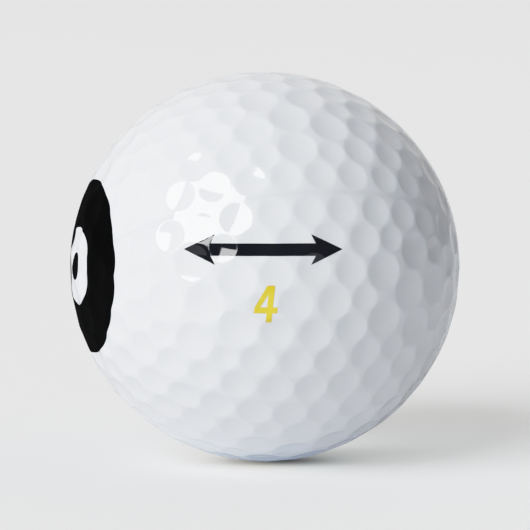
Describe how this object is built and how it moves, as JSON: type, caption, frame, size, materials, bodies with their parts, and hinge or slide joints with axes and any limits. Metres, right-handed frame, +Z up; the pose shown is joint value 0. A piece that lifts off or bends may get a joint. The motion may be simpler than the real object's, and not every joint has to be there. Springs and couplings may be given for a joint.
{
  "type": "golf ball",
  "caption": "Golf ball: a solid rubber core in a dimpled cover of matching half-cups, with a printed alignment arrow, a play number and a plain round badge.",
  "frame": {"origin": "centre of the ball", "axes": "+Z up as the ball lies at rest, the face with the alignment arrow and play number looks along -Y, and the round badge looks along -X"},
  "size_m": [0.0427, 0.0427, 0.0426],
  "materials": {
    "core_rubber": "matt moulded rubber, hidden inside",
    "cover_white": "white ionomer under a clear gloss coat",
    "ink_black": "black pad-print ink under the clear coat",
    "ink_yellow": "yellow pad-print ink under the clear coat",
    "badge_black": "dense black ink, less glossy than the cover"
  },
  "bodies": {
    "root": {"core": "core_rubber", "cover_upper_cup": "cover_white", "cover_lower_cup": "cover_white", "front_arrow": "ink_black", "front_number": "ink_yellow", "back_arrow": "ink_black", "back_number": "ink_yellow", "badge_ring": "badge_black", "badge_dot": "badge_black"}
  },
  "joints": []
}
